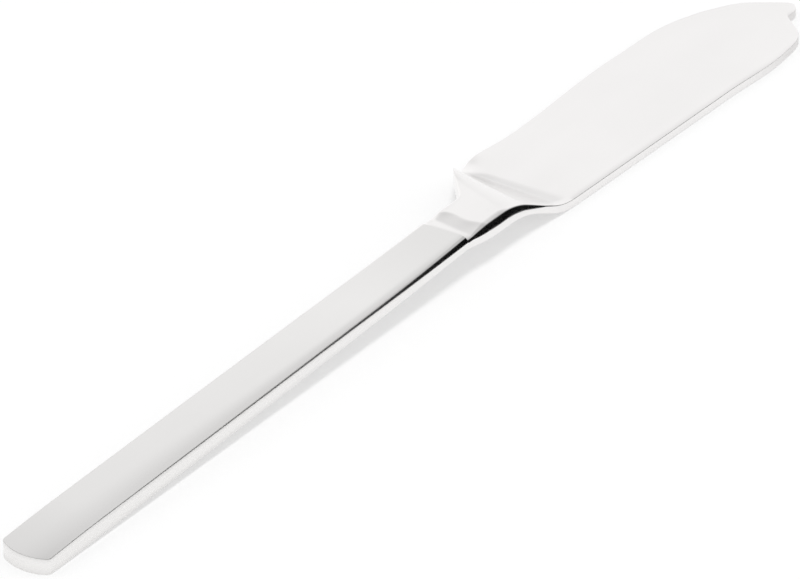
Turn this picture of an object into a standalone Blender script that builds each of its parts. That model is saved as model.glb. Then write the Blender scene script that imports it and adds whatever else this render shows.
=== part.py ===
"""Fish knife with a hollow handle: blade forging, two handle shells and a cement filler.

Frame: +X runs from the butt of the handle to the tip of the blade, +Y to the belly edge, +Z up.
The blade lies flat on Z = 0. The origin is under the middle of the whole knife.
All driving sizes are in millimetres; the mesh is written in metres.
"""
import math

import bmesh
import bpy
from mathutils import Vector

MM = 0.001

# Lengths along the knife
HANDLE_LENGTH = 103.2
NECK_LENGTH = 26.2
BLADE_LENGTH = 80.6

# Handle bar
BUTT_WIDTH = 8.35
MOUTH_WIDTH = 8.5
BUTT_THICKNESS = 2.8
MOUTH_THICKNESS = 2.5
MOUTH_LIFT = 4.25
BUTT_BOW = 1.3
BUTT_CORNER_RADIUS = 0.8
BUTT_SLANT = 0.07
BUTT_ROLL = 0.3
BUTT_ROLL_LENGTH = 14.0
BUTT_EDGE_ROUND = 0.12
MOUTH_EDGE_ROUND = 0.88
MOUTH_CHAMFER = 0.3
SHELL_WALL = 0.55

# Fits
SEAM_GAP = 0.12
FIT_GAP = 0.16

# Tang and filler
TANG_LENGTH = 42.0
TANG_WIDTH = 3.8
FILLER_ARM_GAP = 0.3
FILLER_SETBACK = 1.0

# Neck
NECK_STEP = 0.45
NECK_LEAD = 0.07
CREST_START = 0.95
CREST_SKEW = 0.19
CREST_END = 5.13
CREST_WAVE = 0.32
CREST_WAVE_PLACE = 2.2
CREST_WAVE_LENGTH = 6.0
CREST_LIP = 0.07
CREST_HEIGHT = 6.68
TOP_DROP_START = 9.0
UNDER_DROP_START = 11.6
DROP_OVERRUN = 2.0
DROP_SKEW = 0.45
BEND_LENGTH = 6.9
BEND_TAPER = 0.20
FOOT_LENGTH = 5.5
NECK_BACK_SWELL = 0.3
NECK_EDGE_START = 0.55
NECK_EDGE_ROUND = 1.7
NECK_BELLY_SHARE = 0.25
NECK_SWELL_LENGTH = 20.5
NECK_SWELL_POWER = 0.8

# Blade
BLADE_THICKNESS = 1.5
BLADE_EDGE_ROUND = 0.2
UNDER_EDGE_ROUND = 0.25
UNDER_FADE_LENGTH = 6.0
HEEL_BACK_Y = -4.85
BACK_END_Y = -5.45
BACK_END_FROM_TIP = 17.0
HEEL_BELLY_Y = 15.1
BELLY_MAX_Y = 16.1
BELLY_MAX_FROM_HEEL = 47.5
NOTCH_FROM_TIP = 4.7
NOTCH_Y = 1.0
BEAK_Y = 2.5
NOSE_Y = 3.6

# Places along the knife, measured from the butt
MOUTH_X = HANDLE_LENGTH
HEEL_X = HANDLE_LENGTH + NECK_LENGTH
TIP_X = HEEL_X + BLADE_LENGTH
CENTRE_X = TIP_X / 2.0

ACROSS = 12
ROUND_STEPS = 3


def lerp(start, end, amount):
    return start + (end - start) * amount


def ramp(amount, start, end):
    """Straight ramp from 0 to 1; start and end are the shares of it that are rounded."""
    amount = min(max(amount, 0.0), 1.0)
    slope = 1.0 / (1.0 - 0.5 * start - 0.5 * end)
    if amount < start:
        return 0.5 * slope * amount * amount / start
    if amount > 1.0 - end:
        rest = 1.0 - amount
        return 1.0 - 0.5 * slope * rest * rest / end
    return slope * (amount - 0.5 * start)


def smooth(amount):
    amount = min(max(amount, 0.0), 1.0)
    return amount * amount * (3.0 - 2.0 * amount)


def handle_share(x):
    return min(max(x / HANDLE_LENGTH, 0.0), 1.0)


def handle_half_width(x):
    return 0.5 * lerp(BUTT_WIDTH, MOUTH_WIDTH, handle_share(x))


def handle_under(x):
    return MOUTH_LIFT * x / HANDLE_LENGTH


def handle_thickness(x):
    return lerp(BUTT_THICKNESS, MOUTH_THICKNESS, handle_share(x))


def handle_top(x):
    """The top face, flat except that it rolls down a little towards the butt."""
    rolled = max(1.0 - x / BUTT_ROLL_LENGTH, 0.0)
    return handle_under(x) + handle_thickness(x) - BUTT_ROLL * rolled * rolled


def handle_middle(x):
    return handle_under(x) + 0.5 * handle_thickness(x)


def handle_round(x):
    """Edge rounding: grows along the handle, fastest just behind the mouth."""
    share = handle_share(x)
    return lerp(BUTT_EDGE_ROUND, MOUTH_EDGE_ROUND, lerp(share**5, share, 0.55))


def back_y(x):
    """The straight back of the blade."""
    end_x = TIP_X - BACK_END_FROM_TIP
    return lerp(HEEL_BACK_Y, BACK_END_Y, (x - HEEL_X) / (end_x - HEEL_X))


def drop_share(x, y, start):
    """How far the neck has come down at a place: 0 on the neck, 1 on the blade."""
    across = y - HEEL_BACK_Y
    first = MOUTH_X + start + DROP_SKEW * across
    length = max(HEEL_X + DROP_OVERRUN - first, 4.0)
    bend = max(BEND_LENGTH - BEND_TAPER * across, 1.2)
    return ramp((x - first) / length, min(bend / length, 0.6), min(FOOT_LENGTH / length, 0.4))


def neck_top(x, y):
    lead = NECK_LEAD * min(max((x - MOUTH_X) / CREST_START, 0.0), 1.0)
    start = handle_top(MOUTH_X) - NECK_STEP + lead
    level = lerp(start, CREST_HEIGHT, crest_share(x, y))
    return lerp(level, BLADE_THICKNESS, drop_share(x, y, TOP_DROP_START))


def crest_share(x, y):
    """Rise behind the joint: its start slants across the neck, its end waves a little."""
    half = handle_half_width(MOUTH_X)
    across = min(max(y, -half), half)
    first = CREST_START + CREST_SKEW * (across + half)
    wave = math.cos(2.0 * math.pi * (across - CREST_WAVE_PLACE) / CREST_WAVE_LENGTH)
    last = CREST_END + CREST_WAVE * wave
    share = min(max((x - MOUTH_X - first) / (last - first), 0.0), 1.0)
    return lerp(ramp(share, 0.12, 0.12), share**5, CREST_LIP)


def neck_under(x, y):
    level = handle_under(MOUTH_X)
    return lerp(level, 0.0, drop_share(x, y, UNDER_DROP_START))


def neck_round(x):
    """Edge rounding: swells behind the drop, then thins to the blade's own."""
    share = min(max((x - MOUTH_X) / NECK_SWELL_LENGTH, 0.0), 1.0)
    swell = math.sin(math.pi * share**NECK_SWELL_POWER)
    swollen = lerp(BLADE_EDGE_ROUND, NECK_EDGE_ROUND, max(swell, 0.0))
    return max(swollen, NECK_EDGE_START) if share < 0.5 else swollen


def neck_belly_round(x):
    """Edge rounding on the belly side: sharper than on the back."""
    return max(NECK_BELLY_SHARE * neck_round(x), BLADE_EDGE_ROUND)


def neck_under_round(x):
    """Edge rounding underneath: starts as the handle's own, thins to the blade's."""
    return lerp(MOUTH_EDGE_ROUND, UNDER_EDGE_ROUND, smooth((x - MOUTH_X) / UNDER_FADE_LENGTH))


def spline_point(points, place):
    """Catmull-Rom curve through the points; place counts points from 0."""
    last = len(points) - 1
    index = min(max(int(math.floor(place)), 0), last - 1)
    part = place - index
    here = Vector(points[index])
    after = Vector(points[index + 1])
    before = Vector(points[index - 1]) if index > 0 else here * 2.0 - after
    beyond = Vector(points[index + 2]) if index + 2 <= last else after * 2.0 - here
    step_a = max((here - before).length, 1e-6)
    step_b = max((after - here).length, 1e-6)
    step_c = max((beyond - after).length, 1e-6)
    tangent_a = ((here - before) * (step_b / step_a) + (after - here) * (step_a / step_b))
    tangent_a = tangent_a * (step_b / (step_a + step_b))
    tangent_b = ((after - here) * (step_c / step_b) + (beyond - after) * (step_b / step_c))
    tangent_b = tangent_b * (step_b / (step_b + step_c))
    p2 = part * part
    p3 = p2 * part
    point = here * (2 * p3 - 3 * p2 + 1) + tangent_a * (p3 - 2 * p2 + part)
    return point + after * (3 * p2 - 2 * p3) + tangent_b * (p3 - p2)


def blade_rows():
    """Pairs of outline points, back side and belly side, from the neck's shoulder to the tip."""
    half = handle_half_width(MOUTH_X)
    back_end_x = TIP_X - BACK_END_FROM_TIP
    notch_x = TIP_X - NOTCH_FROM_TIP
    dip_x = HEEL_X + 14.0
    max_x = HEEL_X + BELLY_MAX_FROM_HEEL
    belly = [
        (MOUTH_X, half),
        (MOUTH_X + 5.0, half + 0.15),
        (MOUTH_X + 11.2, half + 0.8),
        (MOUTH_X + 13.3, half + 2.4),
        (MOUTH_X + 18.2, half + 6.2),
        (HEEL_X - 1.0, HEEL_BELLY_Y - 0.95),
        (HEEL_X + 2.0, HEEL_BELLY_Y),
        (dip_x, HEEL_BELLY_Y - 0.25),
        (max_x, BELLY_MAX_Y),
        (back_end_x + 0.5, BELLY_MAX_Y - 1.05),
        (TIP_X - 8.8, BELLY_MAX_Y - 3.8),
        (notch_x + 0.4, NOSE_Y + 5.8),
        (TIP_X - 1.9, NOSE_Y + 2.5),
        (TIP_X - 0.25, NOSE_Y),
    ]
    back = [
        (MOUTH_X, -half),
        (MOUTH_X + 5.0, -half - NECK_BACK_SWELL),
        (MOUTH_X + 11.0, lerp(-half, HEEL_BACK_Y, 0.15) - 0.8 * NECK_BACK_SWELL),
        (MOUTH_X + 15.5, lerp(-half, HEEL_BACK_Y, 0.4) - 0.5 * NECK_BACK_SWELL),
        (MOUTH_X + 20.5, lerp(-half, HEEL_BACK_Y, 0.75)),
        (HEEL_X - 1.0, HEEL_BACK_Y + 0.05),
        (HEEL_X + 2.0, back_y(HEEL_X + 2.0)),
        (dip_x, back_y(dip_x)),
        (max_x, back_y(max_x)),
        (back_end_x, BACK_END_Y),
        (TIP_X - 10.2, BACK_END_Y + 1.25),
        (notch_x, NOTCH_Y),
    ]
    beak = [
        (notch_x, NOTCH_Y),
        (TIP_X - 1.6, lerp(NOTCH_Y, BEAK_Y, 0.2)),
        (TIP_X, BEAK_Y),
    ]
    counts = [5, 7, 8, 8, 8, 5, 3, 5, 4, 4, 6, 4, 4]
    notch_span = len(back) - 1
    rows = []
    for span, count in enumerate(counts):
        for step in range(count):
            place = span + step / count
            belly_point = spline_point(belly, place)
            if span < notch_span:
                back_point = spline_point(back, place)
            else:
                back_point = spline_point(beak, place - notch_span)
            rows.append((back_point, belly_point))
    rows.append((Vector(beak[-1]), Vector(belly[-1])))
    return rows


def middle_y():
    rows = blade_rows()
    return 0.5 * (min(back.y for back, belly in rows) + max(belly.y for back, belly in rows))


CENTRE_Y = middle_y()


def to_metres(x, y, z):
    return Vector(((x - CENTRE_X) * MM, (y - CENTRE_Y) * MM, z * MM))


def round_steps(radius):
    """Inset and depth of a quarter-round edge, from the side to the face."""
    steps = []
    for step in range(ROUND_STEPS):
        angle = 0.5 * math.pi * step / (ROUND_STEPS - 1)
        steps.append((radius * (1.0 - math.cos(angle)), radius * (1.0 - math.sin(angle))))
    return steps


def row_loop(back, belly, top, under, back_round, belly_round, under_round):
    """One closed section: over the top from back to belly, then under it and back again."""
    width = (belly - back).length
    way = (belly - back) / width
    loop = []
    for face, first, last, sign in (
        (top, back_round, belly_round, -1.0),
        (under, under_round, under_round, 1.0),
    ):
        first = min(first, 0.45 * width)
        last = min(last, 0.45 * width)
        places = [(inset, depth) for inset, depth in round_steps(first)]
        for column in range(1, ACROSS):
            places.append((lerp(first, width - last, column / ACROSS), 0.0))
        for inset, depth in reversed(round_steps(last)):
            places.append((width - inset, depth))
        side = []
        for inset, depth in places:
            point = back + way * inset
            sample = back + way * min(max(inset, first), width - last)
            side.append((point.x, point.y, face(sample.x, sample.y) + sign * depth))
        if sign > 0.0:
            side.reverse()
        loop.extend(side)
    return loop


def tang_loop(x):
    half = 0.5 * TANG_WIDTH
    thick = tang_thickness()
    middle = handle_middle(x)
    return row_loop(
        Vector((x, -half)),
        Vector((x, half)),
        lambda px, py: middle + 0.5 * thick,
        lambda px, py: middle - 0.5 * thick,
        0.1,
        0.1,
        0.1,
    )


def tang_thickness():
    return MOUTH_THICKNESS - 2.0 * SHELL_WALL - 2.0 * FIT_GAP


def steel(name, colour, roughness, metallic=1.0):
    material = bpy.data.materials.new(name)
    material.use_nodes = True
    shader = material.node_tree.nodes["Principled BSDF"]
    shader.inputs["Base Color"].default_value = colour
    shader.inputs["Metallic"].default_value = metallic
    shader.inputs["Roughness"].default_value = roughness
    return material


def finish(name, mesh_data, material):
    bmesh.ops.recalc_face_normals(mesh_data, faces=mesh_data.faces)
    mesh = bpy.data.meshes.new(name)
    mesh_data.to_mesh(mesh)
    mesh_data.free()
    mesh.materials.append(material)
    piece = bpy.data.objects.new(name, mesh)
    bpy.context.scene.collection.objects.link(piece)
    return piece


def build_blade():
    shoulder_x = MOUTH_X + FIT_GAP
    tang_end = MOUTH_X - TANG_LENGTH
    loops = []
    for x in (tang_end, lerp(tang_end, MOUTH_X, 0.33), lerp(tang_end, MOUTH_X, 0.67), shoulder_x):
        loops.append(tang_loop(x))
    for index, (back, belly) in enumerate(blade_rows()):
        if index == 0:
            back = Vector((shoulder_x, back.y))
            belly = Vector((shoulder_x, belly.y))
        middle_x = 0.5 * (back.x + belly.x)
        rounds = (neck_round(middle_x), neck_belly_round(middle_x), neck_under_round(middle_x))
        loops.append(row_loop(back, belly, neck_top, neck_under, *rounds))
    mesh_data = bmesh.new()
    rings = []
    for loop in loops:
        rings.append([mesh_data.verts.new(to_metres(*point)) for point in loop])
    size = len(rings[0])
    for first, second in zip(rings, rings[1:]):
        for index in range(size):
            following = (index + 1) % size
            mesh_data.faces.new((first[index], second[index], second[following], first[following]))
    mesh_data.faces.new(rings[0])
    mesh_data.faces.new(list(reversed(rings[-1])))
    return finish("blade", mesh_data, steel("blade_steel", (0.63, 0.62, 0.60, 1.0), 0.12))


def handle_path(mouth_x, stations):
    """Plan outline of the handle as points with outward normals, from mouth round the butt to mouth.

    The stations are extra places along the straight sides, listed from the mouth backwards.
    """
    half = handle_half_width(0.0)
    radius = (half * half + BUTT_BOW * BUTT_BOW) / (2.0 * BUTT_BOW)
    corner = BUTT_CORNER_RADIUS
    corner_x = radius - math.sqrt((radius - corner) ** 2 - (half - corner) ** 2)
    swing = math.atan2(half - corner, radius - corner_x)
    chamfer_x = mouth_x - MOUTH_CHAMFER
    quarter = []
    for step in range(5):
        angle = lerp(0.5 * math.pi, swing, step / 4)
        normal = (-math.cos(angle), math.sin(angle))
        quarter.append((corner_x + corner * normal[0], half - corner + corner * normal[1], normal))
    left = [
        (mouth_x, handle_half_width(mouth_x), (0.0, 1.0)),
        (chamfer_x, handle_half_width(chamfer_x), (0.0, 1.0)),
    ]
    rolled = [share * BUTT_ROLL_LENGTH for share in (1.0, 0.8, 0.6, 0.42, 0.28)]
    for x in list(stations) + rolled:
        left.append((x, handle_half_width(x), (0.0, 1.0)))
    left.extend(quarter)
    for step in range(1, 5):
        angle = swing * (1.0 - step / 4)
        normal = (-math.cos(angle), math.sin(angle))
        left.append((radius + radius * normal[0], radius * normal[1], normal))
    right = []
    for x, y, normal in reversed(left[:-1]):
        right.append((x, -y, (normal[0], -normal[1])))
    path = []
    for x, y, normal in left + right:
        slant = BUTT_SLANT * y * max(1.0 - x / BUTT_ROLL_LENGTH, 0.0)
        path.append((x + slant, y, normal))
    return path


def inset_point(place, distance):
    x, y, normal = place
    return x - distance * normal[0], y - distance * normal[1]


def build_shell(name, face, sign, material):
    """Half of the hollow handle; sign is +1 for the upper half, -1 for the lower half."""
    mouth_x = MOUTH_X - 0.5 * FIT_GAP
    path = handle_path(mouth_x, (0.75 * MOUTH_X, 0.5 * MOUTH_X, 0.3 * MOUTH_X))
    last = len(path) - 1
    mesh_data = bmesh.new()

    def seam(x):
        return handle_middle(x) + sign * 0.5 * SEAM_GAP

    def ring(distance_at, height_at):
        made = []
        for index, place in enumerate(path):
            x, y = inset_point(place, distance_at(place[0]))
            at_mouth = index in (0, last)
            made.append(mesh_data.verts.new(to_metres(x, y, height_at(place[0], x, at_mouth))))
        return made

    def mouth_drop(at_mouth):
        return sign * MOUTH_CHAMFER * 0.6 if at_mouth else 0.0

    rings = [ring(lambda px: 0.0, lambda px, x, at_mouth: seam(x))]
    for inset_share, depth_share in round_steps(1.0):
        rings.append(
            ring(
                lambda px, share=inset_share: share * handle_round(px),
                lambda px, x, at_mouth, share=depth_share: face(x)
                - sign * share * handle_round(px)
                - mouth_drop(at_mouth),
            )
        )
    ceiling = ring(
        lambda px: SHELL_WALL,
        lambda px, x, at_mouth: face(x) - sign * SHELL_WALL,
    )
    rim = ring(lambda px: SHELL_WALL, lambda px, x, at_mouth: seam(x))
    strips = list(zip(rings, rings[1:])) + [(ceiling, rim), (rim, rings[0])]
    for first, second in strips:
        for index in range(last):
            mesh_data.faces.new((first[index], first[index + 1], second[index + 1], second[index]))
    for sheet in (rings[-1], ceiling):
        for index in range(last // 2 - 1):
            other = last - index
            mesh_data.faces.new((sheet[index], sheet[index + 1], sheet[other - 1], sheet[other]))
        middle = last // 2
        mesh_data.faces.new((sheet[middle - 1], sheet[middle], sheet[middle + 1]))
    mouth = [item[0] for item in rings] + [item[last] for item in reversed(rings)]
    mouth += [rim[last], ceiling[last], ceiling[0], rim[0]]
    mesh_data.faces.new(mouth)
    return finish(name, mesh_data, material)


def build_filler():
    """Cement core: fills the handle behind the tang and lies along both sides of it."""
    half_slot = 0.5 * TANG_WIDTH + FILLER_ARM_GAP
    slot_end = MOUTH_X - TANG_LENGTH - FILLER_ARM_GAP
    clear = SHELL_WALL + FIT_GAP
    path = handle_path(MOUTH_X - FILLER_SETBACK, (slot_end, 0.3 * MOUTH_X))
    outline = [inset_point(place, clear) for place in path]
    last = len(outline) - 1
    arm = 2
    inner = [(outline[index][0], -half_slot) for index in range(arm + 1)]
    inner += [(outline[index][0], half_slot) for index in range(arm, -1, -1)]
    mesh_data = bmesh.new()
    sheets = []
    for height in (lambda x: handle_top(x) - clear, lambda x: handle_under(x) + clear):
        sheet = [mesh_data.verts.new(to_metres(x, y, height(x))) for x, y in outline + inner]
        sheets.append(sheet)
        outer = sheet[: last + 1]
        right_arm = sheet[last + 1 : last + 2 + arm]
        left_arm = list(reversed(sheet[last + 2 + arm :]))
        for index in range(arm):
            mesh_data.faces.new((outer[index], outer[index + 1], left_arm[index + 1], left_arm[index]))
            other = last - index
            mesh_data.faces.new((outer[other], right_arm[index], right_arm[index + 1], outer[other - 1]))
        bridge = (outer[arm], outer[arm + 1], outer[last - arm - 1], outer[last - arm])
        mesh_data.faces.new(bridge + (right_arm[arm], left_arm[arm]))
        for index in range(arm + 1, last // 2 - 1):
            other = last - index
            mesh_data.faces.new((outer[index], outer[index + 1], outer[other - 1], outer[other]))
        middle = last // 2
        mesh_data.faces.new((outer[middle - 1], outer[middle], outer[middle + 1]))
    top, under = sheets
    for index in range(len(top)):
        following = (index + 1) % len(top)
        mesh_data.faces.new((top[index], under[index], under[following], top[following]))
    return finish("handle_filler", mesh_data, steel("handle_cement", (0.32, 0.30, 0.27, 1.0), 0.9, 0.0))


def main():
    for old in list(bpy.data.objects):
        bpy.data.objects.remove(old, do_unlink=True)
    build_blade()
    shell_steel = (0.60, 0.59, 0.58, 1.0)
    build_shell("handle_upper_shell", handle_top, 1.0, steel("upper_shell_steel", shell_steel, 0.14))
    build_shell("handle_lower_shell", handle_under, -1.0, steel("lower_shell_steel", shell_steel, 0.14))
    build_filler()


main()
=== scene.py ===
"""Looks of the fish knife: blade forging, two polished handle shells, the filler and a white table."""

import math

import bmesh
import bpy
from bpy.props import BoolProperty, FloatProperty, FloatVectorProperty, IntProperty, PointerProperty
from mathutils import Matrix, Vector


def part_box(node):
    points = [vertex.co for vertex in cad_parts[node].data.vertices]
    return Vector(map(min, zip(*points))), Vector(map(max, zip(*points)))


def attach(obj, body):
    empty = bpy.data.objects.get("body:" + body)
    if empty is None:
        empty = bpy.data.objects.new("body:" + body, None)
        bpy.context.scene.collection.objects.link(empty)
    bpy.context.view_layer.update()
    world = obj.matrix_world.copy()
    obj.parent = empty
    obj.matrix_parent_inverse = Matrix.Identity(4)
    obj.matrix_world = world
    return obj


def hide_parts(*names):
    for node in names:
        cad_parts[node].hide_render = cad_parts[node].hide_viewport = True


bl_info = {
    "name": "Fish Knife",
    "version": (1, 0, 0),
    "blender": (4, 5, 0),
    "location": "View3D > Sidebar > Fish Knife",
    "description": "Builds a polished fish knife with a hollow handle on a white table",
    "category": "Add Mesh",
}

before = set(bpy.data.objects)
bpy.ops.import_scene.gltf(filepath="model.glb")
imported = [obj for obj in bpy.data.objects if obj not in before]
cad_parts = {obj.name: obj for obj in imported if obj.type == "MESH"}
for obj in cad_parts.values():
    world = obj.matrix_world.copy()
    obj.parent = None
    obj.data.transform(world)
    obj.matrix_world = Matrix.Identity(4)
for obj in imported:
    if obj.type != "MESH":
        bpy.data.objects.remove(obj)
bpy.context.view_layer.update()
SHELL_LOW, SHELL_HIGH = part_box("handle_upper_shell")
BLADE_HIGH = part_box("blade")[1]

# The knife is measured from the butt along X and from the handle's middle line along Y.
BUTT_X = SHELL_LOW.x
AXIS_Y = 0.5 * (SHELL_LOW.y + SHELL_HIGH.y)
OVERALL_LENGTH = BLADE_HIGH.x - BUTT_X
MM = 0.001

# Rows of the blade's mesh in each span between two points of its outlines.
SPAN_ROWS = (12, 20, 16, 16, 14, 10, 6, 10, 8, 8, 16, 8, 10)
# Width of the first and last column of a blade face, beside the rounded edges, in columns.
EDGE_COLUMN = 0.12
WELD_DISTANCE = 2e-6

# Limits of the neck's drop, and the form of the rise to its crest.
SHORTEST_BEND = 1.2 * MM
SHORTEST_DROP = 4.0 * MM
LARGEST_BEND_SHARE = 0.6
LARGEST_FOOT_SHARE = 0.4
RISE_ROUNDED_SHARE = 0.12
LIP_POWER = 5.0

# How quickly the dull tip sets in, and the share of the edge rounding that is lost there.
TIP_STEEPNESS = 1.6
TIP_THINNING = 0.7
# Place of the tang's middle, as a share of its length from the mouth of the shells.
TANG_MIDDLE = 0.49

# Mesh of the handle: stations along one side, closer towards the butt, and steps round the butt.
SIDE_STATIONS = 56
STATION_POWER = 0.8
CORNER_STEPS = 8
BOW_STEPS = 10
RIM_STEPS = 8
FACE_COLUMNS = 24
FACE_MARGIN = 0.05 * MM
# The handle's edge rounding grows late, and its sloping strip is narrow from this share on.
GROWTH_POWER = 5
NARROW_FROM = 0.75
SHARP_ANGLE = math.radians(32.0)

# Finish of the steel: stretch of the polishing lines, haze and scratches along their length.
LINE_STRETCH = (0.02, 1.0, 1.0)
HAZE_STRETCH = (0.12, 1.0, 1.0)
SCRATCH_STRETCH = (0.025, 1.0, 1.0)
# Turn and pitch of each set of scratches, and how thin a scratch is.
SCRATCH_SETS = ((0.35, 420.0), (-0.8, 310.0))
SCRATCH_THINNESS = 90.0
RIM_WEAR = 0.5
SMUDGED_SHADE = 0.955

WHITE = (1.0, 1.0, 1.0, 1.0)
TABLE_HALF = 3.0
TABLE_DROP = 2e-5
SENSOR_WIDTH = 36.0
NEAREST_SEEN = 0.01
SCREEN_FADE = 0.06
# Brightness of the mirrored studio by height, from the horizon up.
STUDIO_LEVELS = (
    (0.0, 0.828),
    (0.10, 0.82),
    (0.22, 0.83),
    (0.33, 0.90),
    (0.40, 0.985),
    (0.46, 1.05),
    (0.50, 1.01),
    (0.53, 0.955),
    (0.545, 0.87),
    (0.575, 0.83),
    (0.61, 0.785),
    (0.645, 0.745),
    (0.68, 0.62),
    (0.75, 0.56),
)


def length(name, description, millimetres):
    return FloatProperty(
        name=name,
        description=description,
        default=millimetres * MM,
        precision=5,
        subtype="DISTANCE",
        unit="LENGTH",
    )


def share(name, description, default):
    return FloatProperty(name=name, description=description, default=default, precision=3)


def colour(name, description, default):
    return FloatVectorProperty(
        name=name,
        description=description,
        default=default,
        size=3,
        min=0.0,
        max=1.0,
        subtype="COLOR",
    )


def angle(name, description, degrees):
    return FloatProperty(
        name=name,
        description=description,
        default=math.radians(degrees),
        subtype="ANGLE",
        unit="ROTATION",
    )


class HandleSizes(bpy.types.PropertyGroup):
    """Sizes of the hollow handle."""

    handle_length: length("Handle Length", "From the butt to the mouth of the shells", 103.2)
    butt_width: length("Butt Width", "Width of the handle at the butt", 8.35)
    mouth_width: length("Mouth Width", "Width of the handle at the neck", 8.5)
    butt_thickness: length("Butt Thickness", "Thickness of the handle at the butt", 2.8)
    mouth_thickness: length("Mouth Thickness", "Thickness of the handle at the neck", 2.5)
    mouth_lift: length("Mouth Lift", "Height of the handle's underside at the neck", 4.25)
    butt_bow: length("Butt Bow", "How far the butt end bows out", 1.3)
    butt_corner: length("Butt Corner", "Corner radius of the butt seen from above", 0.8)
    butt_slant: share("Butt Slant", "How far the butt end leans, per width", 0.07)
    butt_roll: length("Butt Roll", "How far the top rolls down at the butt", 0.3)
    butt_roll_length: length("Roll Length", "Length over which the top rolls down", 14.0)
    butt_edge: length("Butt Edge", "Edge rounding at the butt", 0.07)
    mouth_edge: length("Mouth Edge", "Edge rounding at the neck", 1.05)
    edge_growth: share("Edge Growth", "Share of the rounding's growth that is even along the handle", 0.29)
    belly_edge: share("Belly Edge", "Edge rounding on the belly side, as a share of the back's", 0.5)
    butt_slope: angle("Butt Slope", "Slope of the top along its back edge at the butt", 3.3)
    mouth_slope: angle("Mouth Slope", "Slope of the top along its back edge at the neck", 8.2)
    butt_strip: length("Butt Strip", "Width of the sloping strip at the butt", 5.6)
    mouth_strip: length("Mouth Strip", "Width of the sloping strip at the neck", 1.9)
    even_strip: length("Even Strip", "Part of the sloping strip with the full slope", 0.8)
    wall: length("Wall", "Wall of the pressed shells", 0.55)
    seam: length("Seam", "Hairline between the shells", 0.003)
    mouth_flare: length("Mouth Flare", "How far the top rises towards the neck", 0.34)
    flare_length: length("Flare Length", "Length over which the top rises", 24.0)
    tang_length: length("Tang Length", "How far the tang reaches into the handle", 42.0)
    tang_width: length("Tang Width", "Width of the tang", 3.8)
    tang_thickness: length("Tang Thickness", "Thickness of the tang", 1.08)


class NeckSizes(bpy.types.PropertyGroup):
    """Sizes of the cranked neck between the handle and the blade."""

    neck_length: length("Neck Length", "From the shells' mouth to the heel of the blade", 26.2)
    neck_step: length("Neck Step", "How far the neck lies below the shells at the joint", 0.45)
    neck_lead: length("Neck Lead", "Slight rise between the joint and the crest's rise", 0.07)
    crest_start: length("Crest Start", "Where the rise to the crest begins at the back edge", 0.95)
    crest_skew: share("Crest Skew", "How far the start of the rise slants, per width", 0.19)
    crest_end: length("Crest End", "Where the rise to the crest ends", 5.13)
    crest_wave: length("Crest Wave", "How far the end of the rise waves to and fro", 0.32)
    wave_place: length("Wave Place", "Where the wave reaches furthest, from the middle line", 2.2)
    wave_length: length("Wave Length", "Length of one wave across the neck", 6.0)
    crest_lip: share("Crest Lip", "Share of the rise that comes at its very end", 0.07)
    crest_height: length("Crest Height", "Height of the neck's flat above the table", 6.68)
    top_drop_start: length("Top Drop Start", "Where the top starts to come down", 9.0)
    under_drop_start: length("Under Drop Start", "Where the underside starts to come down", 11.6)
    drop_overrun: length("Drop Overrun", "How far the drop runs past the heel", 2.0)
    drop_skew: share("Drop Skew", "How far the start of the drop slants, per width", 0.45)
    bend_length: length("Bend Length", "Length of the bend at the back edge", 6.9)
    bend_taper: share("Bend Taper", "How fast the bend sharpens across the neck", 0.20)
    foot_length: length("Foot Length", "Length of the hollow at the foot of the drop", 5.5)
    back_swell: length("Back Swell", "How far the neck's back edge swells out", 0.3)
    edge_start: length("Edge Start", "Edge rounding of the neck at the joint", 0.55)
    neck_edge: length("Neck Edge", "Largest edge rounding of the neck", 1.7)
    under_fade: length("Under Fade", "Length over which the rounding underneath thins", 6.0)
    swell_length: length("Swell Length", "Length over which the edge rounding swells", 20.1)
    belly_round: share("Belly Round", "Edge rounding on the belly side, as a share of the back's", 0.25)
    tail_edge: length("Tail Edge", "Edge rounding left where the swell ends, over the blade's", 0.17)
    tail_length: length("Tail Length", "Length over which that rounding thins to the blade's", 7.4)
    swell_power: share("Swell Power", "Below one, the rounding is largest nearer the joint", 0.8)


class BladeSizes(bpy.types.PropertyGroup):
    """Sizes of the flat blade."""

    thickness: length("Thickness", "Thickness of the blade", 1.5)
    edge: length("Edge", "Edge rounding on top", 0.06)
    under_edge: length("Under Edge", "Edge rounding underneath", 0.25)
    crown_drop: length("Crown Drop", "How far the top rolls down at the edges", 0.1)
    crown_width: length("Crown Width", "Width of the strip that rolls down", 1.1)
    heel_drop: length("Heel Drop", "How far the top rolls down at the heel's belly corner", 0.75)
    heel_width: length("Heel Width", "Width of the strip that rolls down at the heel's belly corner", 6.3)
    heel_reach: length("Heel Reach", "How far along the blade the heel's roll reaches", 6.0)
    heel_back: length("Heel Back", "Back of the blade at the heel, from the handle's middle line", -4.85)
    back_end: length("Back End", "Back of the blade where it starts to curve", -5.45)
    back_end_from_tip: length("Back End From Tip", "Where the back starts to curve", 17.0)
    heel_belly: length("Heel Belly", "Belly side of the blade at the heel", 15.1)
    belly_max: length("Belly", "Belly side of the blade at its widest", 16.1)
    belly_max_from_heel: length("Belly From Heel", "Where the blade is widest", 47.5)
    notch_from_tip: length("Notch From Tip", "Where the notch is", 4.7)
    notch: length("Notch", "How far the notch lies from the handle's middle line", 1.0)
    beak: length("Beak", "Lower corner of the hooked tip", 2.5)
    nose: length("Nose", "Upper corner of the hooked tip", 3.6)
    tip_reach: length("Tip Reach", "Length of the tip whose sides are ground dull", 36.0)
    edge_steps: IntProperty(name="Edge Steps", description="Steps in each rounded edge", default=8, min=2)
    columns: IntProperty(name="Columns", description="Columns across one face", default=46, min=24)


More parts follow.
